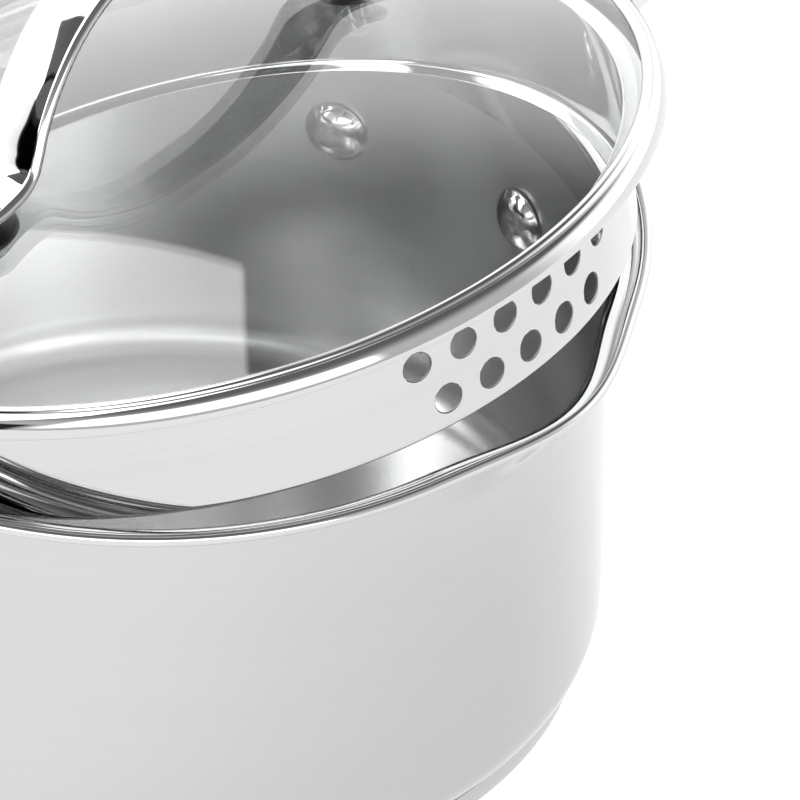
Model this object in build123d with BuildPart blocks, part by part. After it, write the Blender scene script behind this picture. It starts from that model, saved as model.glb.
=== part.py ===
from build123d import *
from math import cos, sin, pi, radians, sqrt
import os

os.makedirs("parts", exist_ok=True)

# ---------------------------------------------------------------- dimensions
# millimetres; origin at the centre of the underside of the base, +Z up,
# +X along the long handle, so the two pouring lips face about -Y and +Y

# pan
rim_z = 101.6            # height of the rim's reference line
wall_r = 91.1            # outer radius just under the rim
wall_t = 0.8             # sheet thickness
wall_draw = 0.022        # how much the wall draws in per mm of depth
corner_r = 10.6          # outer radius between wall and bottom
shell_bottom_z = 3.6     # underside of the shell, on top of the base disc
flare_c = (95.3, -5.4)   # centre of the rim's outward bend, below the rim line
flare_r = 5.0            # its inner radius
bead_c = (97.15, -0.38)  # centre of the rolled edge
bead_r = 1.3
ring_low = -18.0         # the rim ring is modelled from here up
ring_t = 0.62            # its sheet, a little thinner than the wall it stands in
ring_root = 1.5          # how far it stands in the wall
lip_low = -16.0          # a pouring lip starts to swell outward here

# pouring lips
spout_az = (-84.7, 95.3)     # degrees about +Z
spout_half = 23.4            # half width, degrees
spout_pow = 1.38             # how pointed the lip is
spout_out_inner = 4.8        # outward push of the bend
spout_out_outer = 3.55       # outward push of the rolled edge
spout_dip = 0.5              # how far the lip drops

# base
core_r = 84.4
cap_r = 85.2
cap_t = 0.7

# long handle
rivet_az = 15.85             # each side of +X, degrees
rivet_z = rim_z - 36.0
rivet_head_r = 7.0
rivet_head_h = 3.6
shank_r = 3.2
pad_half = 21.5              # degrees
pad_tall = 23.0
pad_t = 3.0
handle_len = 178.0           # from the wall to the tip

# lid, tilted on the pan: own origin, axis and the handle's direction
lid_o = Vector(0.757, -6.409, rim_z + 17.65)
lid_n = Vector(-0.0278, 0.2330, 0.9721).normalized()
lid_x = (Vector(0.9953, -0.0840, 0.0486) - lid_n * lid_n.dot(Vector(0.9953, -0.0840, 0.0486))).normalized()
LID = Plane(origin=lid_o, x_dir=lid_x, z_dir=lid_n)
LID_CUT = Plane(origin=lid_o, x_dir=LID.x_dir, z_dir=LID.y_dir * -1)   # radial plane: x outward, y up
LID_AXIS = Axis(lid_o, lid_n)

lid_edge_r = 97.4
skirt_top_r = 88.4
skirt_low_r = 86.4
skirt_low_h = -26.3
skirt_t = 0.7
hem = 3.4                    # inward-turned hem along the skirt's lower edge
hole_r = 3.1
hole_rows = (-9.43, -19.44)
hole_start = -104.5          # first hole of the upper row, degrees from the lid handle
hole_step = 7.175
fine_hole_r = 1.6
fine_step = 4.1
glass_edge_r = 95.0
glass_t = 3.6
dome_r = 250.0
dome_top_h = 22.2            # height of the glass's upper side over the lid's origin
foot_d = 51.5                # each foot of the lid handle from the lid's axis
strap_w = 16.0
strap_t = 3.4


ARCH = Plane(origin=lid_o, x_dir=LID.x_dir, z_dir=LID.y_dir * -1)


def glass_h(r):
    "height of the glass's upper side at a distance from the lid's axis"
    return dome_top_h - (dome_r - sqrt(dome_r * dome_r - r * r))


def wall_out(z):
    "outer radius of the wall at a height over the base"
    return wall_r - wall_draw * (rim_z - 5.4 - z)


# ------------------------------------------------------------ rim cross-section
def window(a):
    "0 on the plain rim, 1 in the middle of a pouring lip"
    t = min(abs(a) / spout_half, 1.0)
    return (cos(t * pi / 2) ** 2) ** spout_pow


def push(r, z, w):
    "moves a point of the plain rim's section outward and down in a pouring lip"
    g = min(max((z - lip_low) / (-4.0 - lip_low), 0.0), 1.0)
    g = g * g * (3 - 2 * g)
    k = min(max((r - 95.4) / 1.75, 0.0), 1.0)
    out = spout_out_inner + (spout_out_outer - spout_out_inner) * k
    return (r + out * w * g, rim_z + z - spout_dip * w * g)


def sheet_middle(s, w):
    "middle of the sheet: s 0..1 up the wall, 1..2 round the outward bend"
    cx, cz = flare_c
    if s <= 1:
        z = ring_low - ring_root + (cz - ring_low + ring_root) * s
        return push(wall_out(rim_z + z) - wall_t / 2, z, w)
    a = radians(180 - 84 * (s - 1))
    r0 = wall_out(rim_z + cz) - wall_t / 2
    return push(cx + (cx - r0) * cos(a), cz + flare_r * sin(a), w)


def rim_points(w):
    steps = [0.0, 0.1, 0.2, 0.35, 0.5, 0.65, 0.8, 0.95, 1.1, 1.3, 1.55, 1.8, 2.0]
    inner, outer = [], []
    for s in steps:
        r, z = sheet_middle(s, w)
        (r1, z1), (r2, z2) = sheet_middle(max(s - 0.02, 0.0), w), sheet_middle(min(s + 0.02, 2.0), w)
        n = sqrt((r2 - r1) ** 2 + (z2 - z1) ** 2)
        nr, nz = -(z2 - z1) / n * ring_t / 2, (r2 - r1) / n * ring_t / 2
        if s == 0.0:
            nr, nz = -ring_t / 2, 0.0
        inner.append((r + nr, z + nz))
        outer.append((r - nr, z - nz))
    bx, bz = bead_c
    f = lambda deg: push(bx + bead_r * cos(radians(deg)), bz + bead_r * sin(radians(deg)), w)
    return inner, f(176), [f(d) for d in (150, 120, 90, 60, 30, 0, -30, -60, -90)], f(-125), outer


def radial(az):
    "plane through the axis: x outward at an azimuth, y up"
    a = radians(az)
    return Plane(origin=(0, 0, 0), x_dir=(cos(a), sin(a), 0), z_dir=(sin(a), -cos(a), 0))


def rim_section(az, w):
    inner, ie, bead, oe, outer = rim_points(w)
    with BuildSketch(radial(az)) as section:
        with BuildLine():
            Spline(*inner, ie)
            Spline(ie, *bead, oe)
            Spline(oe, *reversed(outer))
            Line(outer[0], inner[0])
        make_face()
    return section


# ------------------------------------------------------------------- pan body
plain_arc = 180 - 2 * (spout_half + 2)
plain_ends = [rim_section(az + spout_half + 2, 0.0).sketch.face() for az in spout_az]
lip_sections = []
for az in spout_az:
    row = [rim_section(az - spout_half - 2, 0.0).sketch.face()]
    for k in range(-6, 7):
        row.append(rim_section(az + spout_half * k / 6, window(spout_half * k / 6)).sketch.face())
    row.append(rim_section(az + spout_half + 2, 0.0).sketch.face())
    lip_sections.append(row)

with BuildPart() as pan_body:
    # bottom, corner and wall, up to the rim ring
    zb = shell_bottom_z
    zc = zb + corner_r
    r_corner = wall_out(zc)
    with BuildSketch(radial(0)):
        with BuildLine():
            Line((0, zb), (r_corner - corner_r, zb))
            ThreePointArc((r_corner - corner_r, zb),
                          (r_corner - corner_r + corner_r * sin(pi / 4), zc - corner_r * cos(pi / 4)),
                          (r_corner, zc))
            Line((r_corner, zc), (wall_out(rim_z + ring_low), rim_z + ring_low))
            Line((wall_out(rim_z + ring_low), rim_z + ring_low), (wall_out(rim_z + ring_low) - wall_t, rim_z + ring_low))
            Line((wall_out(rim_z + ring_low) - wall_t, rim_z + ring_low), (r_corner - wall_t, zc))
            ri = corner_r - wall_t
            ThreePointArc((r_corner - wall_t, zc),
                          (r_corner - corner_r + ri * sin(pi / 4), zc - ri * cos(pi / 4)),
                          (r_corner - corner_r, zb + wall_t))
            Line((r_corner - corner_r, zb + wall_t), (0, zb + wall_t))
            Line((0, zb + wall_t), (0, zb))
        make_face()
    revolve(axis=Axis.Z)
    # plain rim, two arcs between the pouring lips
    for face in plain_ends:
        revolve(profiles=face, axis=Axis.Z, revolution_arc=plain_arc)
    # pouring lips
    for row in lip_sections:
        loft(sections=row)
    # rivet holes
    with Locations(*[Plane(origin=(80 * cos(radians(a)), 80 * sin(radians(a)), rivet_z),
                           z_dir=(cos(radians(a)), sin(radians(a)), 0)).location for a in (-rivet_az, rivet_az)]):
        Cylinder(shank_r + 0.1, 30, mode=Mode.SUBTRACT)
pan_body.part.label = "pan_body"

# ----------------------------------------------------------------------- base
with BuildPart() as base_core:
    # aluminium disc that fills the space under the rounded corner
    with BuildSketch(radial(0)):
        with BuildLine():
            edge_z = zc - sqrt(corner_r ** 2 - (core_r - (r_corner - corner_r)) ** 2)
            mid = radians(18)
            Line((0, cap_t), (core_r, cap_t))
            Line((core_r, cap_t), (core_r, edge_z))
            ThreePointArc((core_r, edge_z),
                          (r_corner - corner_r + corner_r * sin(mid), zc - corner_r * cos(mid)),
                          (r_corner - corner_r, zb))
            Line((r_corner - corner_r, zb), (0, zb))
            Line((0, zb), (0, cap_t))
        make_face()
    revolve(axis=Axis.Z)
base_core.part.label = "base_core"

with BuildPart() as base_cap:
    # thin steel cap around the disc, its lower edge rounded, shallow rings underneath
    with BuildSketch(radial(0)):
        with BuildLine():
            e = 1.6
            Line((0, 0), (cap_r - e, 0))
            ThreePointArc((cap_r - e, 0), (cap_r - e + e * sin(pi / 4), e - e * cos(pi / 4)), (cap_r, e))
            Line((cap_r, e), (cap_r, edge_z - 0.1))
            Line((cap_r, edge_z - 0.1), (core_r, edge_z - 0.1))
            Line((core_r, edge_z - 0.1), (core_r, cap_t))
            Line((core_r, cap_t), (0, cap_t))
            Line((0, cap_t), (0, 0))
        make_face()
    revolve(axis=Axis.Z)
    # turned grooves in the underside
    with BuildSketch(radial(0)):
        for r in (16, 32, 48, 64):
            with Locations((r, 0)):
                Circle(0.35)
    revolve(axis=Axis.Z, mode=Mode.SUBTRACT)
base_cap.part.label = "base_cap"

# ---------------------------------------------------------------- long handle
with BuildPart() as pan_handle:
    # curved pad on the wall
    with BuildSketch(radial(-pad_half)):
        with BuildLine():
            lo, hi = rivet_z - pad_tall / 2, rivet_z + pad_tall / 2
            Polyline((wall_out(lo) + 0.02, lo), (wall_out(lo) + pad_t, lo), (wall_out(hi) + pad_t, hi), (wall_out(hi) + 0.02, hi), close=True)
        make_face()
    revolve(axis=Axis.Z, revolution_arc=2 * pad_half)
    fillet(pan_handle.edges().filter_by(lambda e: e.length < pad_t + 0.4 and abs(abs(e.center().Y) - wall_r * sin(radians(pad_half))) < 3.0), radius=7.0)
    # neck and grip, lofted along a rising line
    x0 = wall_out(rivet_z) + 1.2
    stations = [
        (x0, 0.0, 34.0, 17.0), (x0 + 12, 2.2, 26.0, 12.0), (x0 + 30, 7.5, 19.0, 9.5), (x0 + 58, 15.5, 18.5, 9.5),
        (x0 + 95, 22.5, 21.5, 11.0), (x0 + 135, 26.0, 23.0, 11.5), (x0 + 165, 26.5, 22.0, 10.0), (x0 + handle_len - 2, 26.0, 16.0, 7.0),
    ]
    for i, (x, dz, w, t) in enumerate(stations):
        j, k = max(i - 1, 0), min(i + 1, len(stations) - 1)
        dx, dh = stations[k][0] - stations[j][0], stations[k][1] - stations[j][1]
        if i == 0:
            dx, dh = 1.0, 0.0
        with BuildSketch(Plane(origin=(x, 0, rivet_z + dz), x_dir=(0, 1, 0), z_dir=(dx, 0, dh))):
            RectangleRounded(w, t, t * 0.44)
    loft()
    # keep the inner end out of the pan
    with BuildSketch(Plane.XY.offset(rivet_z - 30)):
        Circle(wall_out(rivet_z) + 0.3)
    extrude(amount=60, mode=Mode.SUBTRACT)
    # hanging hole near the tip
    with BuildSketch(Plane.XY.offset(rivet_z)):
        with Locations((x0 + handle_len - 20, 0)):
            SlotOverall(19, 9)
    extrude(amount=60, mode=Mode.SUBTRACT)
    with Locations(*[Plane(origin=(90 * cos(radians(a)), 90 * sin(radians(a)), rivet_z),
                           z_dir=(cos(radians(a)), sin(radians(a)), 0)).location for a in (-rivet_az, rivet_az)]):
        Cylinder(shank_r + 0.1, 30, mode=Mode.SUBTRACT)
pan_handle.part.label = "pan_handle"

with BuildPart() as handle_rivets:
    # domed head inside the pan, shank through wall and pad, low head outside
    for a in (-rivet_az, rivet_az):
        seat = wall_out(rivet_z) - wall_t - 0.32
        out = wall_out(rivet_z) + pad_t + 0.2
        ca, sa = cos(radians(a)), sin(radians(a))
        with BuildSketch(Plane(origin=(0, 0, rivet_z), x_dir=(ca, sa, 0), z_dir=(sa, -ca, 0))):
            with BuildLine():
                hr, hh = rivet_head_r, rivet_head_h
                Line((seat - hh, 0), (out + 1.4, 0))
                Spline((out + 1.4, 0), (out + 1.1, 2.6), (out, 5.2), tangents=((0, 1), (-1, 0.35)))
                Polyline((out, 5.2), (out, shank_r), (seat, shank_r), (seat, hr))
                Spline((seat, hr), (seat - 0.8, hr - 0.22), (seat - hh * 0.72, hr * 0.62), (seat - hh, 0), tangents=((-1, 0), (0, -1)))
            make_face()
        revolve(axis=Axis((0, 0, rivet_z), (ca, sa, 0)))
handle_rivets.part.label = "handle_rivets"

# ------------------------------------------------------------------------ lid
with BuildPart() as lid_rim:
    # band round the glass's edge: outer face, rounded crest, lip over the glass, shelf under it
    g1, g0 = glass_h(glass_edge_r), glass_h(glass_edge_r) - glass_t
    with BuildSketch(LID_CUT):
        with BuildLine():
            E = lid_edge_r
            Line((E - 0.45, -0.45), (E - 0.02, 0.0))
            Spline((E - 0.02, 0.0), (E + 0.02, 0.6), (E - 0.55, 3.3), (E - 1.35, 4.45), (E - 2.3, 4.95), (E - 3.6, 4.95),
                   tangents=((0.35, 1), (-1, -0.14)))
            Polyline((E - 3.6, 4.95), (93.0, 4.8), (92.8, 4.5), (92.9, glass_h(92.9) + 0.12), (93.3, glass_h(93.3) + 0.08), (E - 1.75, g1 + 0.35), (E - 1.45, g1 - 0.3),
                     (E - 1.45, g0 - 0.12), (89.4, g0 + 0.07), (skirt_top_r - 0.05, g0 - 0.45), (skirt_top_r - 0.05, g0 - 1.15), (E - 0.45, -0.45))
        make_face()
    revolve(axis=LID_AXIS)
lid_rim.part.label = "lid_rim"

with BuildPart() as lid_glass:
    # shallow dome, flat clamped margin, two drillings for the handle
    with BuildSketch(LID_CUT):
        with BuildLine():
            top_mid, low_mid = 48.0, 48.0
            rl = dome_r - glass_t
            low = lambda r: dome_top_h - dome_r + sqrt(rl * rl - r * r)
            ThreePointArc((0, glass_h(0)), (top_mid, glass_h(top_mid)), (glass_edge_r - 0.6, glass_h(glass_edge_r - 0.6)))
            ThreePointArc((glass_edge_r - 0.6, glass_h(glass_edge_r - 0.6)),
                          (glass_edge_r + 0.35, (glass_h(glass_edge_r - 0.6) + low(glass_edge_r - 0.6)) / 2),
                          (glass_edge_r - 0.6, low(glass_edge_r - 0.6)))
            ThreePointArc((glass_edge_r - 0.6, low(glass_edge_r - 0.6)), (low_mid, low(low_mid)), (0, low(0)))
            Line((0, low(0)), (0, glass_h(0)))
        make_face()
    revolve(axis=LID_AXIS)
    with BuildSketch(LID):
        with Locations((-foot_d, 0), (foot_d, 0)):
            Circle(3.0)
    extrude(amount=40, mode=Mode.SUBTRACT)
lid_glass.part.label = "lid_glass"

with BuildPart() as lid_strainer:
    # drawn-in skirt under the shelf, with the straining holes
    with BuildSketch(LID_CUT):
        with BuildLine():
            top = g0 - 0.5
            c = 1.4                      # bend radius of the hem
            lo = skirt_low_h
            Polyline((skirt_low_r, lo + c), (skirt_top_r, top - 0.7), (skirt_top_r - skirt_t + 0.55, top), (skirt_top_r - skirt_t, top),
                     (skirt_low_r - skirt_t, lo + c))
            ThreePointArc((skirt_low_r - skirt_t, lo + c), (skirt_low_r - c + (c - skirt_t) * sin(pi / 4), lo + c - (c - skirt_t) * cos(pi / 4)),
                          (skirt_low_r - c, lo + skirt_t))
            Polyline((skirt_low_r - c, lo + skirt_t), (skirt_low_r - hem, lo + skirt_t - 0.25), (skirt_low_r - hem, lo - 0.25), (skirt_low_r - c, lo))
            ThreePointArc((skirt_low_r - c, lo), (skirt_low_r - c + c * sin(pi / 4), lo + c - c * cos(pi / 4)), (skirt_low_r, lo + c))
        make_face()
    revolve(axis=LID_AXIS)
    # two rows of large holes on the pouring side, two rows of fine ones opposite

    def hole_at(az, h):
        a = radians(az)
        d = LID.x_dir * cos(a) + LID.y_dir * sin(a)
        return Plane(origin=lid_o + d * (skirt_low_r - 3) + lid_n * h, z_dir=d).location

    with Locations(*[hole_at(hole_start + hole_step * k, hole_rows[0]) for k in range(6)],
                   *[hole_at(hole_start + hole_step * (k + 0.5), hole_rows[1]) for k in range(5)]):
        Cylinder(hole_r, 12, mode=Mode.SUBTRACT)
    fine_mid = hole_start + hole_step * 2.5 + 180
    with Locations(*[hole_at(fine_mid + fine_step * (k - 5), hole_rows[0]) for k in range(11)],
                   *[hole_at(fine_mid + fine_step * (k - 4.5), (hole_rows[0] + hole_rows[1]) / 2) for k in range(10)],
                   *[hole_at(fine_mid + fine_step * (k - 4), hole_rows[1]) for k in range(9)]):
        Cylinder(fine_hole_r, 12, mode=Mode.SUBTRACT)
lid_strainer.part.label = "lid_strainer"

# lid handle: a polished strap bent into an arch with two flat feet
foot_h = glass_h(foot_d)
arch = [(foot_d + 8.2, 3.15), (foot_d + 4.0, 3.12), (foot_d, 3.2), (47.6, 3.9), (44.2, 5.0), (41.6, 6.7), (39.6, 9.4), (36.3, 14.5),
        (30.2, 21.4), (21.8, 28.1), (12.0, 32.6)]
pts = [(-t, foot_h + h) for t, h in arch] + [(0, foot_h + 33.8)] + [(t, foot_h + h) for t, h in reversed(arch)]

with BuildPart() as lid_handle:
    with BuildLine(ARCH):
        middle = Spline(*pts)
    with BuildSketch(Plane(origin=middle @ 0, x_dir=LID.y_dir, z_dir=middle % 0)):
        with BuildLine():
            w2, t2 = strap_w / 2, strap_t / 2
            # crowned strap: slightly arched on both sides, round edges
            ThreePointArc((-w2 + 1.2, t2 - 0.7), (0, t2), (w2 - 1.2, t2 - 0.7))
            ThreePointArc((w2 - 1.2, t2 - 0.7), (w2, 0), (w2 - 1.2, -t2 + 0.3))
            ThreePointArc((w2 - 1.2, -t2 + 0.3), (0, -t2), (-w2 + 1.2, -t2 + 0.3))
            ThreePointArc((-w2 + 1.2, -t2 + 0.3), (-w2, 0), (-w2 + 1.2, t2 - 0.7))
        make_face()
    sweep(path=middle)
    # rounded feet
    with BuildSketch(LID.offset(foot_h - 5)):
        SlotOverall(2 * (foot_d + 8.0), strap_w + 0.2)
    extrude(amount=60, mode=Mode.INTERSECT)
    # blind holes for the studs
    with BuildSketch(LID.offset(foot_h - 2)):
        with Locations((-foot_d, 0), (foot_d, 0)):
            Circle(1.6)
    extrude(amount=4.6, mode=Mode.SUBTRACT)
lid_handle.part.label = "lid_handle"

with BuildPart() as foot_washers:
    # dark grommets: flange on the glass, tube through it, wide flange under it that lies against the dome
    for s in (-1, 1):
        foot = lid_o + LID.x_dir * (s * foot_d)
        with BuildSketch(Plane(origin=foot, x_dir=LID.x_dir, z_dir=LID.y_dir * -1)):
            with BuildLine():
                Polyline((1.7, foot_h - 4.9), (2.8, foot_h - 4.9), (2.8, foot_h + 0.86), (3.9, foot_h + 0.86), (3.9, foot_h + 1.26), (1.7, foot_h + 1.26), (1.7, foot_h - 4.9))
            make_face()
        revolve(axis=Axis(foot, lid_n))
        lean = s * foot_d / dome_r
        normal = (lid_n * sqrt(1 - lean * lean) + LID.x_dir * lean).normalized()
        across = (LID.x_dir - normal * normal.dot(LID.x_dir)).normalized()
        with BuildSketch(Plane(origin=foot + lid_n * foot_h - normal * (glass_t + 1.14), x_dir=across, z_dir=normal)):
            Circle(7.0)
            Circle(2.75, mode=Mode.SUBTRACT)
        extrude(amount=1.0)
foot_washers.part.label = "foot_washers"

with BuildPart() as under_washers:
    # clear caps under the grommets: a wide collar, then a round-ended sleeve over the end of the stud
    top = foot_h - 5.9
    for s in (-1, 1):
        foot = lid_o + LID.x_dir * (s * foot_d)
        with BuildSketch(Plane(origin=foot, x_dir=LID.x_dir, z_dir=LID.y_dir * -1)):
            with BuildLine():
                Polyline((1.7, top), (3.6, top), (3.75, top - 0.3), (3.75, top - 2.9), (3.5, top - 3.2), (2.8, top - 3.3), (2.75, top - 6.2))
                Spline((2.75, top - 6.2), (1.95, top - 7.8), (0, top - 8.3), tangents=((0, -1), (-1, 0)))
                Polyline((0, top - 8.3), (0, top - 7.0), (1.7, top - 7.0), (1.7, top))
            make_face()
        revolve(axis=Axis(foot, lid_n))
under_washers.part.label = "under_washers"

with BuildPart() as lid_screws:
    # studs from the strap's feet down through the grommets into the clear caps
    for s in (-1, 1):
        foot = lid_o + LID.x_dir * (s * foot_d)
        with BuildSketch(Plane(origin=foot, x_dir=LID.x_dir, z_dir=LID.y_dir * -1)):
            with BuildLine():
                Polyline((0, top - 6.9), (0, foot_h + 2.5), (1.5, foot_h + 2.5), (1.5, top - 6.6), (1.2, top - 6.9), (0, top - 6.9))
            make_face()
        revolve(axis=Axis(foot, lid_n))
lid_screws.part.label = "lid_screws"

for piece in (pan_body, base_core, base_cap, pan_handle, handle_rivets, lid_rim, lid_glass, lid_strainer, lid_handle, foot_washers, under_washers, lid_screws):
    export_step(piece.part, f"parts/{piece.part.label}.step")
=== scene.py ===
import bpy, math
import numpy as np
from mathutils import Vector, Matrix
from mathutils.geometry import delaunay_2d_cdt


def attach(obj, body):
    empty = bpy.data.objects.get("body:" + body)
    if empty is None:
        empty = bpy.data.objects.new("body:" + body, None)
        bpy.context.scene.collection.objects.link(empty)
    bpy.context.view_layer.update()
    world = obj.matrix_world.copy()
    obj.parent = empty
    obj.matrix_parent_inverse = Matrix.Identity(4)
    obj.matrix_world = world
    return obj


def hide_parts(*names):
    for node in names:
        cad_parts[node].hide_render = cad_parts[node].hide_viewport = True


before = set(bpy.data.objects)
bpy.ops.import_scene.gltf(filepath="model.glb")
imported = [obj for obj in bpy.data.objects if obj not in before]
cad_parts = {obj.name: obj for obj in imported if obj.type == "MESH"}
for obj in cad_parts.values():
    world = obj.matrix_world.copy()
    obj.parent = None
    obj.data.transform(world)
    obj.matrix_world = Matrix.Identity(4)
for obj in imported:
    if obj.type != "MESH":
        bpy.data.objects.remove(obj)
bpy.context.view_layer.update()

# ------------------------------------------------------------------ dimensions
# millimetres, in the frame of the CAD: origin at the centre of the underside,
# +Z up, +X along the long handle. Meshes are written in metres.
MM = 0.001
RIM_Z = 101.6
SPOUTS = (-84.7, 95.3)
SPOUT_HALF, SPOUT_POW = 23.4, 1.38
OUT_INNER, OUT_OUTER, DIP = 5.0, 3.55, 0.5
LIP_LOW = -16.0
WALL_R, WALL_T, DRAW = 91.1, 0.8, 0.022
CORNER_R, SHELL_Z = 10.6, 3.6
CAP_R, CORE_R, CAP_T = 85.2, 84.4, 0.7
RIVET_AZ, RIVET_Z = 15.85, RIM_Z - 36.0

LID_O = np.array([0.757, -6.409, RIM_Z + 17.65])
LN = np.array([-0.0278, 0.2330, 0.9721]); LN /= np.linalg.norm(LN)
LX = np.array([0.9953, -0.0840, 0.0486]); LX = LX - LN * LX.dot(LN); LX /= np.linalg.norm(LX)
LY = np.cross(LN, LX)
LID = dict(origin=LID_O, ex=LX, ey=LY, ez=LN)

FOOT = 51.5
DOME_R, DOME_TOP, GLASS_T = 250.0, 22.2, 2.2
EDGE_R = 97.4
SKIRT_TOP_R, SKIRT_LOW_R, SKIRT_LOW_H, SKIRT_T, HEM = 88.4, 86.4, -26.3, 0.35, 3.4


def glass_h(r, radius=DOME_R):
    return DOME_TOP - DOME_R + math.sqrt(radius ** 2 - r * r)


def wall_out(z):
    return WALL_R - DRAW * (RIM_Z - 5.4 - z)


# ------------------------------------------------------------------ mesh helpers
def mesh_object(name, verts, faces, body, mats, node=None, slot=None, lathe_at=None, sharp=None, face_mats=None):
    me = bpy.data.meshes.new(name)
    me.from_pydata([tuple(v) for v in np.asarray(verts, float) * MM], [], [tuple(int(i) for i in f) for f in faces])
    me.polygons.foreach_set("use_smooth", [True] * len(me.polygons))
    for m in (mats if isinstance(mats, (list, tuple)) else [mats]):
        me.materials.append(m)
    if face_mats is not None:
        me.polygons.foreach_set("material_index", [int(i) for i in face_mats])
    if lathe_at is not None:
        at = me.attributes.new("lathe", "FLOAT_VECTOR", "POINT")
        at.data.foreach_set("vector", np.asarray(lathe_at, float).ravel())
    if sharp:
        me.set_sharp_from_angle(angle=math.radians(sharp))
    me.update()
    ob = bpy.data.objects.new(name, me)
    bpy.context.scene.collection.objects.link(ob)
    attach(ob, body)
    if node:
        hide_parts(*([node] if isinstance(node, str) else node))
    return ob


def curve_through(points, n):
    "smooth curve through the points (centripetal Catmull-Rom), n samples per span"
    P = [np.array(p, float) for p in points]
    P = [2 * P[0] - P[1]] + P + [2 * P[-1] - P[-2]]
    out = []
    for i in range(1, len(P) - 2):
        p0, p1, p2, p3 = P[i - 1], P[i], P[i + 1], P[i + 2]
        t0 = 0.0
        t1 = t0 + max(np.linalg.norm(p1 - p0), 1e-9) ** 0.5
        t2 = t1 + max(np.linalg.norm(p2 - p1), 1e-9) ** 0.5
        t3 = t2 + max(np.linalg.norm(p3 - p2), 1e-9) ** 0.5
        for k in range(n):
            t = t1 + (t2 - t1) * k / n
            a1 = (t1 - t) / (t1 - t0) * p0 + (t - t0) / (t1 - t0) * p1
            a2 = (t2 - t) / (t2 - t1) * p1 + (t - t1) / (t2 - t1) * p2
            a3 = (t3 - t) / (t3 - t2) * p2 + (t - t2) / (t3 - t2) * p3
            b1 = (t2 - t) / (t2 - t0) * a1 + (t - t0) / (t2 - t0) * a2
            b2 = (t3 - t) / (t3 - t1) * a2 + (t - t1) / (t3 - t1) * a3
            out.append(tuple((t2 - t) / (t2 - t1) * b1 + (t - t1) / (t2 - t1) * b2))
    out.append(tuple(P[-2]))
    return out


def arc(cx, cy, r, a0, a1, n):
    return [(cx + r * math.cos(math.radians(a0 + (a1 - a0) * k / n)), cy + r * math.sin(math.radians(a0 + (a1 - a0) * k / n))) for k in range(n + 1)]


def line(p, q, n):
    return [(p[0] + (q[0] - p[0]) * k / n, p[1] + (q[1] - p[1]) * k / n) for k in range(n + 1)]


def join(*runs):
    out = []
    for run in runs:
        for p in run:
            if not out or abs(p[0] - out[-1][0]) + abs(p[1] - out[-1][1]) > 1e-6:
                out.append((float(p[0]), float(p[1])))
    return out


def lathe(name, section, body, mats, origin=(0, 0, 0), ex=(1, 0, 0), ey=(0, 1, 0), ez=(0, 0, 1), n=360, closed=True, warp=None, section_mats=None, **kw):
    """section: (r, h) points, revolved about origin + t * ez; the outline runs counter-clockwise in (r, h).
    warp(angle, r, h) gives the moved (r, h)."""
    o, ex, ey, ez = (np.array(v, float) for v in (origin, ex, ey, ez))
    m = len(section)
    length = [0.0]
    for a, b in zip(section, section[1:]):
        length.append(length[-1] + math.hypot(b[0] - a[0], b[1] - a[1]) * MM)
    verts, attrs, index, axis_at = [], [], {}, {}
    for i in range(n):
        a = 2 * math.pi * i / n
        ca, sa = math.cos(a), math.sin(a)
        d = ex * ca + ey * sa
        for j, (r, h) in enumerate(section):
            if r < 1e-6:
                if j not in axis_at:
                    axis_at[j] = len(verts)
                    verts.append(o + ez * h)
                    attrs.append((0, 0, length[j]))
                index[i, j] = axis_at[j]
                continue
            rr, hh = warp(a, r, h) if warp else (r, h)
            index[i, j] = len(verts)
            verts.append(o + d * rr + ez * hh)
            attrs.append((ca, sa, length[j]))
    faces, fm = [], []
    for i in range(n):
        k = (i + 1) % n
        for j in range(m if closed else m - 1):
            l = (j + 1) % m
            f = tuple(dict.fromkeys((index[i, j], index[k, j], index[k, l], index[i, l])))
            if len(f) > 2:
                faces.append(f)
                fm.append(section_mats[j] if section_mats else 0)
    return mesh_object(name, verts, faces, body, mats, lathe_at=attrs, face_mats=fm, **kw)


# ------------------------------------------------------------------ materials
def new_mat(name):
    m = bpy.data.materials.new(name)
    m.use_nodes = True
    m.node_tree.nodes.clear()
    return m, m.node_tree


def add(nt, kind, **kw):
    n = nt.nodes.new(kind)
    for k, v in kw.items():
        setattr(n, k, v)
    return n


def math_node(nt, op, a, b=None, clamp=False):
    n = add(nt, "ShaderNodeMath", operation=op, use_clamp=clamp)
    for i, v in enumerate((a, b)):
        if v is None:
            continue
        if isinstance(v, (int, float)):
            n.inputs[i].default_value = v
        else:
            nt.links.new(v, n.inputs[i])
    return n.outputs[0]


def remap(nt, value, a, b, c, d, smooth=False):
    n = add(nt, "ShaderNodeMapRange", clamp=True)
    if smooth:
        n.interpolation_type = "SMOOTHSTEP"
    nt.links.new(value, n.inputs["Value"])
    for k, v in zip(("From Min", "From Max", "To Min", "To Max"), (a, b, c, d)):
        n.inputs[k].default_value = v
    return n.outputs["Result"]


def noise(nt, vector, scale, detail=3.0, rough=0.55):
    n = add(nt, "ShaderNodeTexNoise", noise_dimensions="3D")
    n.inputs["Scale"].default_value = scale
    n.inputs["Detail"].default_value = detail
    n.inputs["Roughness"].default_value = rough
    nt.links.new(vector, n.inputs["Vector"])
    return n.outputs["Fac"]


def stretched(nt, vector, s):
    n = add(nt, "ShaderNodeVectorMath", operation="MULTIPLY")
    nt.links.new(vector, n.inputs[0])
    n.inputs[1].default_value = s
    return n.outputs[0]


def grey(nt, value, lo, hi, tint=(1.0, 1.0, 1.0)):
    n = add(nt, "ShaderNodeMix", data_type="RGBA")
    nt.links.new(value, n.inputs["Factor"])
    n.inputs[6].default_value = (lo * tint[0], lo * tint[1], lo * tint[2], 1)
    n.inputs[7].default_value = (hi * tint[0], hi * tint[1], hi * tint[2], 1)
    return n.outputs[2]


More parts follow.
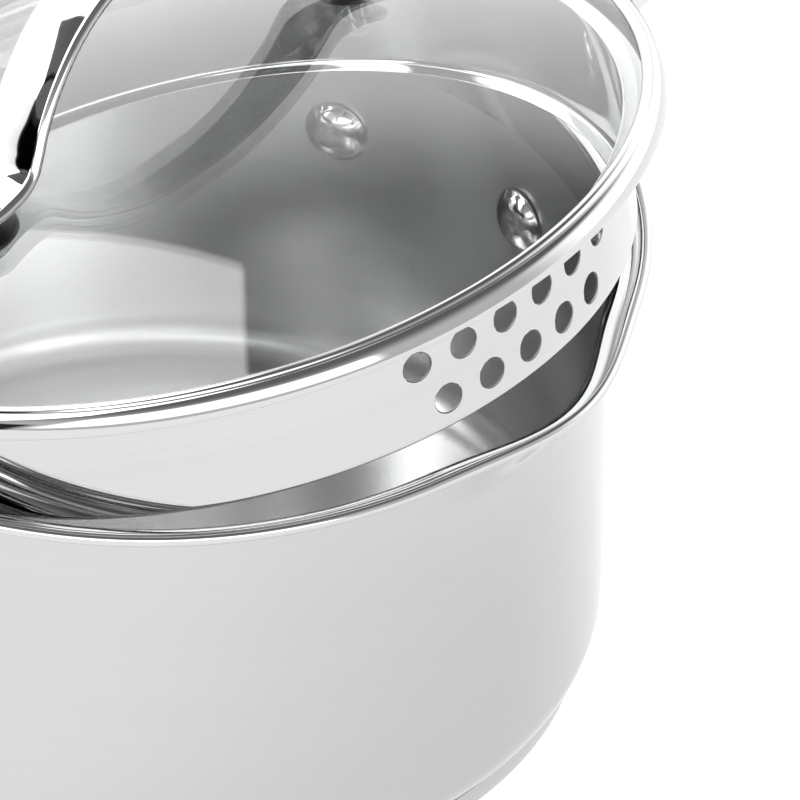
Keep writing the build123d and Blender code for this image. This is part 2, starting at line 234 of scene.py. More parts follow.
def metal(name, lo, hi, rough, var=0.03, smudge=0.02, brush=0.0, fine=900.0, along=5.0, dents=0.0, dent_scale=22.0, turned=True, aniso=0.0):
    """Steel with turned or drawn marks that run round the piece. The attribute holds (cos, sin) of the
    angle and the length along the section, so noise stretched along the angle gives fine rings."""
    m, nt = new_mat(name)
    out = add(nt, "ShaderNodeOutputMaterial")
    b = add(nt, "ShaderNodeBsdfPrincipled")
    nt.links.new(b.outputs[0], out.inputs["Surface"])
    b.inputs["Metallic"].default_value = 1.0
    co = add(nt, "ShaderNodeTexCoord").outputs["Object"]
    vec = add(nt, "ShaderNodeAttribute", attribute_name="lathe").outputs["Vector"] if turned else co
    hair = noise(nt, stretched(nt, vec, (along, along, fine)), 1.0, 4.0, 0.65)
    wide = noise(nt, stretched(nt, vec, (along * 0.4, along * 0.4, fine * 0.11)), 1.0, 3.0, 0.6)
    smud = noise(nt, co, 36.0, 4.0, 0.6)
    both = math_node(nt, "ADD", math_node(nt, "MULTIPLY", hair, 0.55), math_node(nt, "MULTIPLY", wide, 0.45))
    nt.links.new(grey(nt, remap(nt, both, 0.36, 0.64, 0.0, 1.0), lo, hi, (1.0, 1.0, 1.003)), b.inputs["Base Color"])
    r = math_node(nt, "ADD", remap(nt, both, 0.34, 0.66, rough - var, rough + var), remap(nt, smud, 0.42, 0.72, 0.0, smudge), True)
    nt.links.new(r, b.inputs["Roughness"])
    last = None
    for height, dist in ((hair, brush), (noise(nt, co, dent_scale, 1.5, 0.4) if dents else None, dents)):
        if not dist:
            continue
        bump = add(nt, "ShaderNodeBump")
        bump.inputs["Strength"].default_value = 1.0
        bump.inputs["Distance"].default_value = dist
        nt.links.new(height, bump.inputs["Height"])
        if last:
            nt.links.new(last.outputs[0], bump.inputs["Normal"])
        last = bump
    if last:
        nt.links.new(last.outputs[0], b.inputs["Normal"])
    if aniso:
        b.inputs["Anisotropic"].default_value = aniso
        b.inputs["Anisotropic Rotation"].default_value = 0.25
        t = add(nt, "ShaderNodeTangent", direction_type="RADIAL", axis="Z")
        nt.links.new(t.outputs[0], b.inputs["Tangent"])
    return m


def plain(name, lo, hi, rough, scale=300.0, bump=0.00002, metallic=0.0, transmission=0.0):
    "rubber, plastic or cast metal with a fine even grain"
    m, nt = new_mat(name)
    out = add(nt, "ShaderNodeOutputMaterial")
    b = add(nt, "ShaderNodeBsdfPrincipled")
    nt.links.new(b.outputs[0], out.inputs["Surface"])
    b.inputs["Metallic"].default_value = metallic
    b.inputs["Transmission Weight"].default_value = transmission
    co = add(nt, "ShaderNodeTexCoord").outputs["Object"]
    grain = noise(nt, co, scale, 4.0, 0.6)
    nt.links.new(grey(nt, remap(nt, grain, 0.35, 0.65, 0, 1), lo, hi), b.inputs["Base Color"])
    nt.links.new(remap(nt, grain, 0.3, 0.7, rough - 0.06, rough + 0.06), b.inputs["Roughness"])
    bn = add(nt, "ShaderNodeBump")
    bn.inputs["Strength"].default_value = 1.0
    bn.inputs["Distance"].default_value = bump
    nt.links.new(grain, bn.inputs["Height"])
    nt.links.new(bn.outputs[0], b.inputs["Normal"])
    return m


def clear_glass(name, strength, tint=(0.975, 0.982, 0.980)):
    """Clear tempered glass as a thin pane: it lets light straight through and mirrors by Fresnel. Most of
    the mirroring of both surfaces is given to the upper one."""
    m, nt = new_mat(name)
    out = add(nt, "ShaderNodeOutputMaterial")
    co = add(nt, "ShaderNodeTexCoord").outputs["Object"]
    haze = noise(nt, co, 30.0, 4.0, 0.6)
    t = add(nt, "ShaderNodeBsdfTransparent")
    nt.links.new(grey(nt, haze, 0.985, 1.0, tint), t.inputs["Color"])
    g = add(nt, "ShaderNodeBsdfGlossy")
    g.inputs["Color"].default_value = (1, 1, 1, 1)
    nt.links.new(remap(nt, haze, 0.45, 0.8, 0.004, 0.02), g.inputs["Roughness"])
    f = add(nt, "ShaderNodeFresnel")
    back = add(nt, "ShaderNodeNewGeometry").outputs["Backfacing"]
    nt.links.new(remap(nt, back, 0.0, 1.0, 1.5, 1 / 1.5), f.inputs["IOR"])
    fac = math_node(nt, "MULTIPLY", f.outputs[0], strength, True)
    mix = add(nt, "ShaderNodeMixShader")
    nt.links.new(fac, mix.inputs[0])
    nt.links.new(t.outputs[0], mix.inputs[1])
    nt.links.new(g.outputs[0], mix.inputs[2])
    nt.links.new(mix.outputs[0], out.inputs["Surface"])
    return m


M_OUT = metal("steel_polished_wall", 0.500, 0.512, 0.10, var=0.006, smudge=0.012, fine=700.0, along=0.6)
M_LIP = metal("steel_polished_lip", 0.54, 0.57, 0.05, var=0.010, smudge=0.012, fine=1200.0, along=0.7)
M_IN = metal("steel_brushed_inside", 0.655, 0.690, 0.24, var=0.015, smudge=0.02, brush=0.0000006, fine=2200.0, along=1.1, aniso=0.6)
M_BASE = metal("steel_turned_base", 0.50, 0.56, 0.18, var=0.04, smudge=0.04, brush=0.000006, fine=1800.0, along=2.0)
M_RIM = metal("steel_lid_rim", 0.53, 0.555, 0.055, var=0.01, smudge=0.012, fine=1200.0, along=0.7)
M_SKIRT = metal("steel_strainer_satin", 0.52, 0.545, 0.05, var=0.01, smudge=0.012, fine=1200.0, along=0.8)
M_STRAP = metal("steel_mirror_strap", 0.60, 0.66, 0.035, var=0.012, smudge=0.015, fine=600.0, along=2.0, dents=0.00001, dent_scale=40.0)
M_RIVET = metal("steel_rivet", 0.62, 0.70, 0.10, var=0.03, smudge=0.05, fine=900.0, along=2.0, dents=0.00002, dent_scale=160.0)
M_GRIP = metal("steel_cast_handle", 0.58, 0.64, 0.14, var=0.03, smudge=0.04, fine=160.0, along=160.0, dents=0.00003, dent_scale=30.0, turned=False)
M_CORE = plain("aluminium_core", 0.50, 0.62, 0.35, 120.0, 0.00001, metallic=1.0)
M_DARK = plain("dark_washer", 0.012, 0.026, 0.45, 400.0, 0.00002)
M_SCREW = metal("steel_stud", 0.60, 0.70, 0.12, var=0.03, smudge=0.04, fine=900.0, along=2.0)
# darkened steel for the hole walls: painted shade inside the strainer holes, well below the tone of the steel itself
M_HOLE_SHADE = metal("steel_hole_wall_painted_shade", 0.20, 0.28, 0.42, var=0.05, smudge=0.03, fine=900.0, along=3.0)
M_CLEAR = clear_glass("clear_cap", 1.0, tint=(0.90, 0.905, 0.905))
M_GLASS = clear_glass("tempered_glass", 1.05)


# ------------------------------------------------------------------ pan body
def window(a):
    "0 on the plain rim, 1 in the middle of a pouring lip; a in degrees from that middle"
    t = min(abs(a) / SPOUT_HALF, 1.0)
    return (math.cos(t * math.pi / 2) ** 2) ** SPOUT_POW


def lip_warp(a, r, h):
    w = 0.0
    for az in SPOUTS:
        w = max(w, window((math.degrees(a) - az + 180) % 360 - 180))
    z = h - RIM_Z
    g = min(max((z - LIP_LOW) / (-4.0 - LIP_LOW), 0.0), 1.0)
    g = g * g * (3 - 2 * g)
    k = min(max((r - 95.4) / 1.75, 0.0), 1.0)
    out = OUT_INNER + (OUT_OUTER - OUT_INNER) * k
    return r + out * w * g, h - DIP * w * g


zc = SHELL_Z + CORNER_R
rc = wall_out(zc) - CORNER_R
Z = lambda z: RIM_Z + z
inner = join(
    line((0, SHELL_Z + WALL_T), (rc - 2, SHELL_Z + WALL_T), 14),
    arc(rc, zc, CORNER_R - WALL_T, -90, 0, 14),
    line((wall_out(zc) - WALL_T, zc), (wall_out(Z(-17)) - WALL_T, Z(-17)), 16),
    line((wall_out(Z(-17)) - WALL_T, Z(-17)), (wall_out(Z(-5.6)) - WALL_T, Z(-5.6)), 14),
)
lip = join(
    arc(95.2, Z(-5.4), 4.85, 178, 96, 16),
    [(95.35, Z(-0.62)), (95.62, Z(-0.78)), (95.8, Z(-0.72))],
    arc(97.15, Z(-0.38), 1.3, 186, -112, 26),
)
outer = join(
    [(96.2, Z(-1.25))],
    arc(95.2, Z(-5.4), 4.05, 96, 178, 14),
    line((wall_out(Z(-5.6)), Z(-5.6)), (wall_out(Z(-17)), Z(-17)), 14),
    line((wall_out(Z(-17)), Z(-17)), (wall_out(zc), zc), 16),
    arc(rc, zc, CORNER_R, 0, -90, 14),
    line((rc, SHELL_Z), (0, SHELL_Z), 10),
)
section = join(inner, lip, outer)
kinds = [0] * (len(inner) - 14) + [1] * (len(lip) + 14) + [2] * (len(section) - len(inner) - len(lip))
lathe("pan_shell", section, "pan", [M_IN, M_LIP, M_OUT], n=900, warp=lip_warp, section_mats=kinds, node="pan_body", slot="steel_body")

# base: steel cap round the disc, rounded lower edge, turned grooves underneath
edge_z = zc - math.sqrt(CORNER_R ** 2 - (CORE_R - rc) ** 2)
under = [(0, 0)]
for g in (16, 32, 48, 64):
    under += [(g - 0.6, 0)] + [(p, abs(q)) for p, q in arc(g, 0, 0.45, 180, 360, 6)][0:7] + [(g + 0.6, 0)]
cap = join(under, line((70, 0), (CAP_R - 1.6, 0), 3), arc(CAP_R - 1.6, 1.6, 1.6, -90, 0, 8), line((CAP_R, 1.6), (CAP_R, edge_z - 0.35), 4),
           [(CAP_R - 0.12, edge_z - 0.15), (CAP_R - 0.4, edge_z - 0.1), (CORE_R, edge_z - 0.12), (CORE_R, CAP_T), (60, CAP_T), (0, CAP_T)])
lathe("base_cap_skin", cap, "pan", M_BASE, n=480, node="base_cap", slot="steel_base", sharp=50)

# rivets: domed heads inside, low heads outside
rv, rf, ra = [], [], []
for s in (-1, 1):
    ca, sa = math.cos(math.radians(s * RIVET_AZ)), math.sin(math.radians(s * RIVET_AZ))
    axis, side, up = np.array([-ca, -sa, 0.0]), np.array([-sa, ca, 0.0]), np.array([0, 0, 1.0])
    seat, out_r = wall_out(RIVET_Z) - WALL_T - 0.32, wall_out(RIVET_Z) + 3.2
    prof = join([(0, 3.6)], curve_through([(0, 3.6), (2.2, 3.5), (4.3, 2.85), (5.9, 1.75), (6.75, 0.75)], 6)[1:], arc(6.6, 0.35, 0.4, 20, -90, 4),
                [(3.2, -0.06), (3.2, seat - out_r)], curve_through([(5.2, seat - out_r), (4.6, seat - out_r - 0.55), (2.6, seat - out_r - 1.15), (0.0, seat - out_r - 1.4)], 5))
    m, n = len(prof), 64
    base = len(rv)
    for i in range(n):
        a = 2 * math.pi * i / n
        for r, h in prof:
            rv.append(np.array([ca * seat, sa * seat, RIVET_Z]) + (side * math.cos(a) + up * math.sin(a)) * r + axis * h)
            ra.append((math.cos(a), math.sin(a), (r + h) * MM))
    for i in range(n):
        for j in range(m - 1):
            k = (i + 1) % n
            rf.append((base + i * m + j, base + i * m + j + 1, base + k * m + j + 1, base + k * m + j))
rivets = mesh_object("handle_rivet_heads", rv, rf, "pan", M_RIVET, node="handle_rivets", slot="steel_rivets", lathe_at=ra)


# ------------------------------------------------------------------ lid rim, glass
G0 = glass_h(95.0) - 3.6
rim = join(
    curve_through([(EDGE_R - 0.50, -0.50), (EDGE_R - 0.12, -0.30), (EDGE_R, 0.15), (EDGE_R - 0.10, 1.2), (EDGE_R - 0.50, 2.5), (EDGE_R - 1.15, 3.55),
                   (EDGE_R - 1.75, 4.05), (EDGE_R - 2.05, 4.12)], 6),
    curve_through([(EDGE_R - 2.05, 4.12), (EDGE_R - 2.20, 4.28), (EDGE_R - 2.55, 4.85), (EDGE_R - 3.1, 5.10), (EDGE_R - 3.8, 5.05), (EDGE_R - 4.35, 4.75), (EDGE_R - 4.55, 4.45), (EDGE_R - 4.45, glass_h(EDGE_R - 4.45) + 0.12)], 6),
    [(93.3, glass_h(93.3) + 0.08), (EDGE_R - 1.75, G0 + GLASS_T + 0.30), (EDGE_R - 1.45, G0 + GLASS_T - 0.3), (EDGE_R - 1.45, G0 - 0.12), (89.4, G0 + 0.07), (SKIRT_TOP_R - 0.05, G0 - 0.45)],
    curve_through([(SKIRT_TOP_R - 0.05, G0 - 1.15), (90.5, G0 - 1.05), (94.0, G0 - 0.75), (EDGE_R - 0.50, -0.50)], 4),
)
lathe("lid_rim_band", rim, "lid", M_RIM, n=900, node="lid_rim", slot="steel_lid_rim", sharp=55, **LID)

GE = 94.4
rl = DOME_R - GLASS_T
glass = join(
    [(r, glass_h(r, rl)) for r in np.linspace(0, GE, 40)],
    [(GE + 0.5, (glass_h(GE) + glass_h(GE, rl)) / 2 - 1.2), (GE + 0.9, (glass_h(GE) + glass_h(GE, rl)) / 2), (GE + 0.5, (glass_h(GE) + glass_h(GE, rl)) / 2 + 1.2)],
    [(r, glass_h(r)) for r in np.linspace(GE, 0, 40)],
)
lathe("lid_glass_dome", glass, "lid", M_GLASS, n=360, node="lid_glass", slot="lid_glass", **LID)

# ------------------------------------------------------------------ strainer skirt
HOLES = [(-104.5 + 7.175 * k, -9.43, 3.1) for k in range(6)] + [(-104.5 + 7.175 * (k + 0.5), -19.44, 3.1) for k in range(5)]
mid = -104.5 + 7.175 * 2.5 + 180
HOLES += [(mid + 4.1 * (k - 5), -9.43, 1.6) for k in range(11)] + [(mid + 4.1 * (k - 4.5), (-9.43 - 19.44) / 2, 1.6) for k in range(10)] + [(mid + 4.1 * (k - 4), -19.44, 1.6) for k in range(9)]
TOP_H = G0 - 0.5 - 0.7


def skirt_r(h):
    t = (h - (SKIRT_LOW_H + 1.4)) / (TOP_H - (SKIRT_LOW_H + 1.4))
    return SKIRT_LOW_R + (SKIRT_TOP_R - SKIRT_LOW_R) * t


def lid_point(a, r, h):
    return LID_O + (LX * math.cos(a) + LY * math.sin(a)) * r + LN * h


def skirt():
    h0, h1 = SKIRT_LOW_H + 1.4, TOP_H
    R = 87.4
    pts, edges, rings = [], [], []
    NU = 720
    rows = [h0, h0 + 0.8, -22.9, -16, -13, -6.0, h1 - 0.8, h1]
    du = 2 * math.pi * R / NU
    for row in rows:
        for i in range(NU + 1):
            u = i * du
            if any(math.hypot((u - (az % 360) * math.pi / 180 * R), row - h) < r + 0.9 for az, h, r in HOLES) and row not in (h0, h1):
                continue
            pts.append((u, row))
    side = {}
    for az, h, r in HOLES:
        n = 72 if r > 2 else 40
        for extra in (0.30, 0.05):
            ring = []
            for k in range(n):
                t = 2 * math.pi * k / n
                ring.append(len(pts))
                pts.append(((az % 360) * math.pi / 180 * R + (r + extra) * math.cos(t), h + (r + extra) * math.sin(t)))
            if extra == 0.05:
                rings.append((ring, az, h, r))
                edges += [(ring[k], ring[(k + 1) % n]) for k in range(n)]
    v2, _, tri, vmap, _, _ = delaunay_2d_cdt([Vector(p) for p in pts], edges, [], 0, 1e-6)
    v2 = [tuple(v) for v in v2]
    keep = []
    for f in tri:
        cu = sum(v2[i][0] for i in f) / len(f)
        ch = sum(v2[i][1] for i in f) / len(f)
        if any(math.hypot(cu - (az % 360) * math.pi / 180 * R, ch - h) < (r + 0.05) * 0.99 for az, h, r in HOLES):
            continue
        keep.append(tuple(f))
    where = {}
    for new, olds in enumerate(vmap):
        for o in olds:
            where[o] = new
    verts, attrs, faces = [], [], []
    weld = {}

    def vid(i, depth):
        u, h = v2[i]
        key = (round((u % (2 * math.pi * R)) / 1e-4) if abs(u - 2 * math.pi * R) > 1e-4 else 0, round(h / 1e-4), depth)
        if key not in weld:
            a = u / R
            weld[key] = len(verts)
            verts.append(lid_point(a, skirt_r(h) - depth, h))
            attrs.append((math.cos(a), math.sin(a), (h - h0) * MM + depth))
        return weld[key]

    for f in keep:
        t = [vid(i, 0.0) for i in f]
        s = [vid(i, SKIRT_T) for i in f]
        faces.append(tuple(t))
        faces.append(tuple(reversed(s)))
    # walls of the holes, their edges a little rounded; they take the darkened steel, painted shade in the holes
    shade_wall_from = len(faces)
    for ring, az, h, r in rings:
        n = len(ring)
        a0 = math.radians(az % 360)
        prev = [vid(where[i], 0.0) for i in ring]
        for extra, depth in ((0.015, 0.015), (0.0, 0.05), (0.0, SKIRT_T - 0.05), (0.015, SKIRT_T - 0.015)):
            cur = []
            for k in range(n):
                t = 2 * math.pi * k / n
                a, hh = a0 + (r + extra) * math.cos(t) / R, h + (r + extra) * math.sin(t)
                cur.append(len(verts))
                verts.append(lid_point(a, skirt_r(hh) - depth, hh))
                attrs.append((math.cos(a), math.sin(a), (hh - h0) * MM + depth))
            faces += [(prev[(k + 1) % n], prev[k], cur[k], cur[(k + 1) % n]) for k in range(n)]
            prev = cur
        last = [vid(where[i], SKIRT_T) for i in ring]
        faces += [(prev[(k + 1) % n], prev[k], last[k], last[(k + 1) % n]) for k in range(n)]
    shade_wall_to = len(faces)
    # hem below, shoulder above; both share the rows at h0 and h1
    def strip(profile, start_outer, end_inner, row):
        prev = [vid(where[i], 0.0) for i in row]
        n = len(row)
        for r, h in profile:
            cur = []
            for k in range(n):
                a = k * 2 * math.pi / n
                cur.append(len(verts))
                verts.append(lid_point(a, r, h))
                attrs.append((math.cos(a), math.sin(a), (h - h0 - r) * MM))
            faces.extend([(prev[k], prev[(k + 1) % n], cur[(k + 1) % n], cur[k]) if start_outer else (prev[(k + 1) % n], prev[k], cur[k], cur[(k + 1) % n]) for k in range(n)])
            prev = cur
        last = [vid(where[i], SKIRT_T) for i in row]
        faces.extend([(prev[k], prev[(k + 1) % n], last[(k + 1) % n], last[k]) if start_outer else (prev[(k + 1) % n], prev[k], last[k], last[(k + 1) % n]) for k in range(n)])

    low_row = list(range(0, NU))
    c, lo = 1.4, SKIRT_LOW_H
    hem_pts = join(arc(SKIRT_LOW_R - c, lo + c, c, 0, -90, 8)[1:], line((SKIRT_LOW_R - c, lo), (SKIRT_LOW_R - HEM, lo - 0.25), 4)[1:],
                   arc(SKIRT_LOW_R - HEM, lo - 0.25 + SKIRT_T / 2, SKIRT_T / 2, -90, -270, 6)[1:], line((SKIRT_LOW_R - HEM, lo + SKIRT_T - 0.25), (SKIRT_LOW_R - c, lo + SKIRT_T), 4)[1:],
                   arc(SKIRT_LOW_R - c, lo + c, c - SKIRT_T, -90, 0, 6)[1:-1])
    strip(hem_pts, False, True, low_row)
    top_row = [i for i, p in enumerate(pts) if abs(p[1] - h1) < 1e-9][:NU]
    t = G0 - 0.5
    strip([(SKIRT_TOP_R - 0.05, h1 + 0.45), (SKIRT_TOP_R - SKIRT_T + 0.5, t), (SKIRT_TOP_R - SKIRT_T, t)], True, True, top_row)
    # the hole-wall faces take the second, darkened material: painted shade in the holes
    return mesh_object("lid_strainer_skirt", verts, faces, "lid", [M_SKIRT, M_HOLE_SHADE],
                       face_mats=[1 if shade_wall_from <= i < shade_wall_to else 0 for i in range(len(faces))], node="lid_strainer", slot="steel_strainer", lathe_at=attrs, sharp=65)


skirt()

# ------------------------------------------------------------------ strap handle
FOOT_H = glass_h(FOOT)
half = [(FOOT + 8.2, 3.15), (FOOT + 4.0, 3.12), (FOOT, 3.2), (47.6, 3.9), (44.2, 5.0), (41.6, 6.7), (39.6, 9.4), (36.3, 14.5), (30.2, 21.4), (21.8, 28.1), (12.0, 32.6)]
pts = [(-t, FOOT_H + h) for t, h in half] + [(0, FOOT_H + 33.8)] + [(t, FOOT_H + h) for t, h in reversed(half)]
path = np.array(curve_through(pts, 14))
seg = np.linalg.norm(np.diff(path, axis=0), axis=1)
cum = np.concatenate([[0], np.cumsum(seg)])
# even steps, denser at the ends
total = cum[-1]
ends = np.concatenate([np.linspace(0, 1, 9)[:-1] ** 1.6 * 8.0])
stations = np.concatenate([ends, np.linspace(8.0, total - 8.0, 220), total - ends[::-1]])
P = np.stack([np.interp(stations, cum, path[:, 0]), np.interp(stations, cum, path[:, 1])], 1)
T = np.gradient(P, stations, axis=0)
for _ in range(6):
    T[1:-1] = (T[:-2] + 2 * T[1:-1] + T[2:]) / 4
T /= np.linalg.norm(T, axis=1)[:, None]
W2, T2 = 8.0, 1.7


def strap_section(n=64):
    "crowned strap: (across, up), rounded edges; counter-clockwise"
    top = curve_through([(W2 - 1.1, T2 - 0.62), (W2 * 0.5, T2 - 0.17), (0, T2), (-W2 * 0.5, T2 - 0.17), (-W2 + 1.1, T2 - 0.62)], 6)
    left = curve_through([(-W2 + 1.1, T2 - 0.62), (-W2 + 0.3, 0.55), (-W2, -0.1), (-W2 + 0.3, -0.85), (-W2 + 1.1, -T2 + 0.3)], 5)
    low = curve_through([(-W2 + 1.1, -T2 + 0.3), (-W2 * 0.45, -T2 + 0.06), (0, -T2), (W2 * 0.45, -T2 + 0.06), (W2 - 1.1, -T2 + 0.3)], 5)
    right = curve_through([(W2 - 1.1, -T2 + 0.3), (W2 - 0.3, -0.85), (W2, -0.1), (W2 - 0.3, 0.55), (W2 - 1.1, T2 - 0.62)], 5)
    return join(top, left, low, right)[:-1]


sec = strap_section()
sv, sf, sa_ = [], [], []
m = len(sec)
for i, ((x, h), (tx, th)) in enumerate(zip(P, T)):
    s = stations[i]
    d = min(s, total - s)
    w = math.sqrt(max(1 - (1 - min(d / 6.6, 1.0)) ** 2, 0.0)) if d < 6.6 else 1.0
    w = max(w, 0.02)
    q = min(1.0, (max(w, 0.0)) ** 0.35)
    for across, upw in sec:
        nx, nh = -th, tx
        sv.append(LID_O + LX * (x + nx * upw * q) + LY * (across * w) + LN * (h + nh * upw * q))
        sa_.append((across * MM * 40, upw * MM * 40, s * MM))
for i in range(len(P) - 1):
    for j in range(m):
        k = (j + 1) % m
        sf.append((i * m + j, i * m + k, (i + 1) * m + k, (i + 1) * m + j))
sf.append(tuple(range(m - 1, -1, -1)))
sf.append(tuple((len(P) - 1) * m + j for j in range(m)))
mesh_object("lid_strap_handle", sv, sf, "lid", M_STRAP, node="lid_handle", slot="steel_lid_handle", lathe_at=sa_)


def pair(name, prof, mat, node_name, slot_name, n=56, closed=True, sharp=45):
    "the same turned piece at both feet of the strap"
    v, f, at = [], [], []
    m = len(prof)
    for s in (-1, 1):
        base = len(v)
        for i in range(n):
            a = 2 * math.pi * i / n
            for j, (r, h) in enumerate(prof):
                v.append(LID_O + LX * (s * FOOT + r * math.cos(a)) + LY * (r * math.sin(a)) + LN * (FOOT_H + h))
                at.append((math.cos(a), math.sin(a), (r + h) * MM))
        for i in range(n):
            k = (i + 1) % n
            for j in range(m if closed else m - 1):
                l = (j + 1) % m
                f.append((base + i * m + j, base + k * m + j, base + k * m + l, base + i * m + l))
    return mesh_object(name, v, f, "lid", mat, node=node_name, slot=slot_name, lathe_at=at, sharp=sharp)


gv, gf, ga = [], [], []
for s in (-1, 1):
    # grommet: flange on the glass, tube through it, wide flange that lies against the dome's underside
    lean = s * FOOT / DOME_R
    normal = LN * math.sqrt(1 - lean * lean) + LX * lean
    across = LX - normal * normal.dot(LX); across /= np.linalg.norm(across)
    foot = LID_O + LX * (s * FOOT) + LN * FOOT_H
    runs = [(foot, LX, LY, LN, join([(1.7, -4.0), (2.8, -4.0), (2.8, 0.86), (3.7, 0.86)], arc(3.7, 1.0, 0.14, -90, 0, 3), arc(3.7, 1.12, 0.14, 0, 90, 3), [(1.7, 1.26)])),
            (foot - normal * (GLASS_T + 0.14), across, LY, normal, join([(2.75, -1.0), (6.7, -1.0)], arc(6.7, -0.7, 0.3, -90, 0, 4), arc(6.7, -0.3, 0.3, 0, 90, 4), [(2.75, 0.0)]))]
    for o, ex, ey, ez, prof in runs:
        base, m = len(gv), len(prof)
        for i in range(72):
            a = 2 * math.pi * i / 72
            for r, h in prof:
                gv.append(o + ex * (r * math.cos(a)) + ey * (r * math.sin(a)) + ez * h)
                ga.append((math.cos(a), math.sin(a), (r + h) * MM))
        for i in range(72):
            k = (i + 1) % 72
            for j in range(m):
                l = (j + 1) % m
                gf.append((base + i * m + j, base + k * m + j, base + k * m + l, base + i * m + l))
mesh_object("foot_grommets", gv, gf, "lid", M_DARK, node="foot_washers", slot="dark_washer", lathe_at=ga, sharp=45)
CT = -4.7
pair("under_glass_caps", join([(0.001, CT - 8.3)], curve_through([(0.001, CT - 8.3), (1.2, CT - 8.05), (2.1, CT - 7.3), (2.65, CT - 6.2), (2.78, CT - 5.0), (2.8, CT - 3.5)], 5)[1:],
     arc(3.0, CT - 3.4, 0.2, 180, 90, 3), arc(3.5, CT - 2.95, 0.25, -90, 0, 4), arc(3.5, CT - 0.25, 0.25, 0, 90, 4), [(1.7, CT), (1.7, CT - 7.0), (0.001, CT - 7.0)]), M_CLEAR, "under_washers", "clear_washer", closed=False)
thread = []
for k in range(16):
    thread += [(1.28, CT - 6.5 + 0.5 * k), (1.5, CT - 6.25 + 0.5 * k)]
pair("lid_studs", join([(0.001, CT - 6.9), (1.1, CT - 6.9)], thread, [(1.5, CT + 1.8), (1.5, 2.5), (0.001, 2.5)]), M_SCREW, "lid_screws", "steel_screws", closed=False)

# CAD nodes that stay
for n, m in (("base_core", M_CORE), ("pan_handle", M_GRIP)):
    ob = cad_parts[n]
    for s in range(max(1, len(ob.material_slots))):
        if ob.material_slots:
            ob.material_slots[s].material = m
        else:
            ob.data.materials.append(m)

# ------------------------------------------------------------------ camera
FWD = Vector((0.61286031, 0.49270743, -0.61777151))
RIGHT = Vector((0.62709823, -0.7789397, 0.00086478))
UP = Vector((0.48078067, 0.38793341, 0.78635718))
CAM = Vector((-1160.87365308, -994.9890581, 1259.70544284)) * MM
cam_data = bpy.data.cameras.new("camera")
cam = bpy.data.objects.new("camera", cam_data)
bpy.context.scene.collection.objects.link(cam)
rot = Matrix((RIGHT, UP, -FWD)).transposed()
cam.matrix_world = Matrix.Translation(CAM) @ rot.to_4x4()
cam_data.sensor_width = 36.0
cam_data.lens = 9622.10 / 800 * 36.0
cam_data.clip_start, cam_data.clip_end = 0.05, 50.0
bpy.context.scene.camera = cam

# ------------------------------------------------------------------ floor
fm, nt = new_mat("studio_floor")
out = add(nt, "ShaderNodeOutputMaterial")
d = add(nt, "ShaderNodeBsdfDiffuse")
d.inputs["Color"].default_value = (0.55, 0.55, 0.55, 1)
e = add(nt, "ShaderNodeEmission")
e.inputs["Color"].default_value = (1, 1, 1, 1)
e.inputs["Strength"].default_value = 0.72
s = add(nt, "ShaderNodeAddShader")
nt.links.new(d.outputs[0], s.inputs[0])
nt.links.new(e.outputs[0], s.inputs[1])
nt.links.new(s.outputs[0], out.inputs["Surface"])
me = bpy.data.meshes.new("floor")
me.from_pydata([(-4, -4, -0.0002), (4, -4, -0.0002), (4, 4, -0.0002), (-4, 4, -0.0002)], [], [(0, 1, 2, 3)])
me.materials.append(fm)
floor = bpy.data.objects.new("studio_floor", me)
bpy.context.scene.collection.objects.link(floor)

# ------------------------------------------------------------------ studio light
# The world is a dim studio with soft boxes painted as polygons on the sky. Directions are given
# as (degrees to the right of the main view's heading, degrees above the horizon).
HEAD = math.atan2(FWD.y, FWD.x)


def sky_dir(az, el):
    a, b = HEAD - math.radians(az), math.radians(el)
    return Vector((math.cos(a) * math.cos(b), math.sin(a) * math.cos(b), math.sin(b)))


world = bpy.data.worlds.new("studio")
bpy.context.scene.world = world
world.use_nodes = True
wt = world.node_tree
wt.nodes.clear()
wout = add(wt, "ShaderNodeOutputWorld")
bg = add(wt, "ShaderNodeBackground")
wt.links.new(bg.outputs[0], wout.inputs["Surface"])
direction = add(wt, "ShaderNodeTexCoord").outputs["Generated"]


def dot(v):
    n = add(wt, "ShaderNodeVectorMath", operation="DOT_PRODUCT")
    wt.links.new(direction, n.inputs[0])
    n.inputs[1].default_value = v
    return n.outputs["Value"]


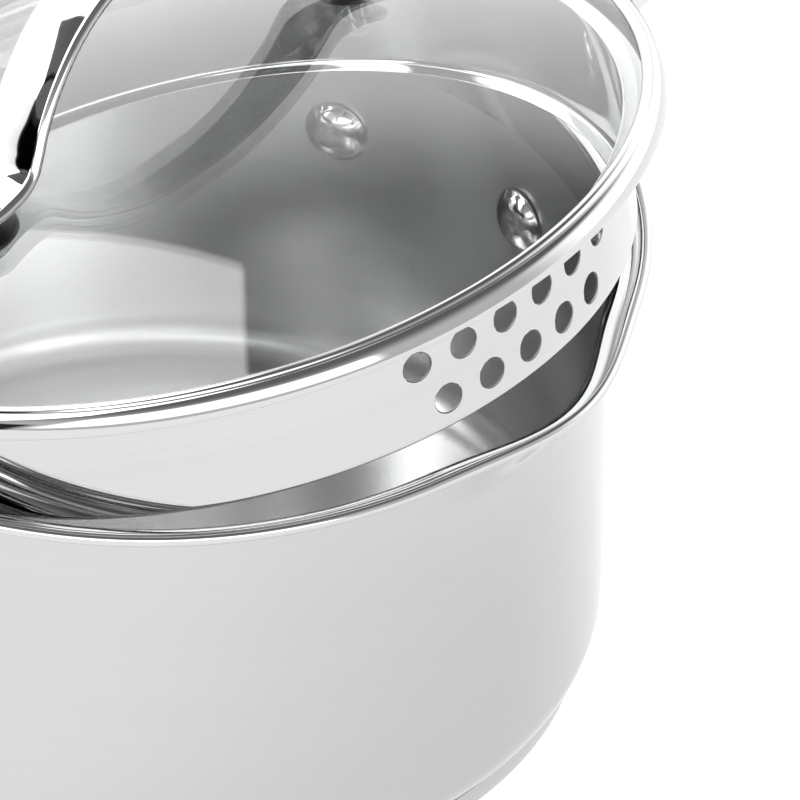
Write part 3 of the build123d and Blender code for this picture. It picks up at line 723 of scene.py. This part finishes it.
def soft_box(corners, value, soft=0.02):
    "a convex patch of sky; corners run clockwise as seen from the object"
    ds = [sky_dir(*c) for c in corners]
    mid = sum(ds, Vector()).normalized()
    mask = None
    for a, b in zip(ds, ds[1:] + ds[:1]):
        n = a.cross(b).normalized()
        if n.dot(mid) < 0:
            n = -n
        edge = remap(wt, dot(n), -soft, soft, 0.0, 1.0, smooth=True)
        mask = edge if mask is None else math_node(wt, "MULTIPLY", mask, edge)
    return math_node(wt, "MULTIPLY", mask, value)




up_part = dot((0.0, 0.0, 1.0))
ahead_part = dot(sky_dir(0, 0))
ahead = remap(wt, up_part, 0.46, 0.72, 2.0, 0.18, smooth=True)
behind = remap(wt, up_part, 0.40, 0.90, 0.8, 0.20, smooth=True)
side = remap(wt, ahead_part, -0.25, 0.25, 0.0, 1.0, smooth=True)
total = math_node(wt, "ADD", math_node(wt, "MULTIPLY", ahead, side), math_node(wt, "MULTIPLY", behind, math_node(wt, "SUBTRACT", 1.0, side)))
BOXES = [
    # corners, strength, softness
    ([(-29.5, 31.5), (-18.2, 50.2), (-28.5, 63.2), (-75.0, 72.0), (-120.0, 55.0), (-115.0, 22.0), (-60.0, 18.0)], 3.6, 0.006),
    ([(-15, 46), (-7, 46), (-8, 66), (-20, 66)], 1.5, 0.07),
    ([(140, 6), (220, 6), (216, 34), (144, 34)], 2.3, 0.05),
]
for corners, value, soft in BOXES:
    total = math_node(wt, "ADD", total, soft_box(corners, value, soft))
# unlit parts of the studio on the left: a corner behind the camera and the gap between two lamps
for corners, soft in (
    ([(-93, -12), (-136, -12), (-136, 20), (-93, 20)], 0.03),
    ([(-60, 33), (-66, 50), (-96, 40), (-90, 29)], 0.012),
    ([(-88, 31), (-96, 40), (-112, 20), (-108, 3), (-93, 3)], 0.012),
):
    dark = soft_box(corners, 0.96, soft)
    total = math_node(wt, "MULTIPLY", total, math_node(wt, "SUBTRACT", 1.0, dark))
col = add(wt, "ShaderNodeCombineColor")
for i in range(3):
    wt.links.new(total, col.inputs[i])
wt.links.new(col.outputs[0], bg.inputs["Color"])
bg.inputs["Strength"].default_value = 1.0

bpy.context.scene.view_settings.view_transform = "Standard"
bpy.context.scene.view_settings.look = "None"
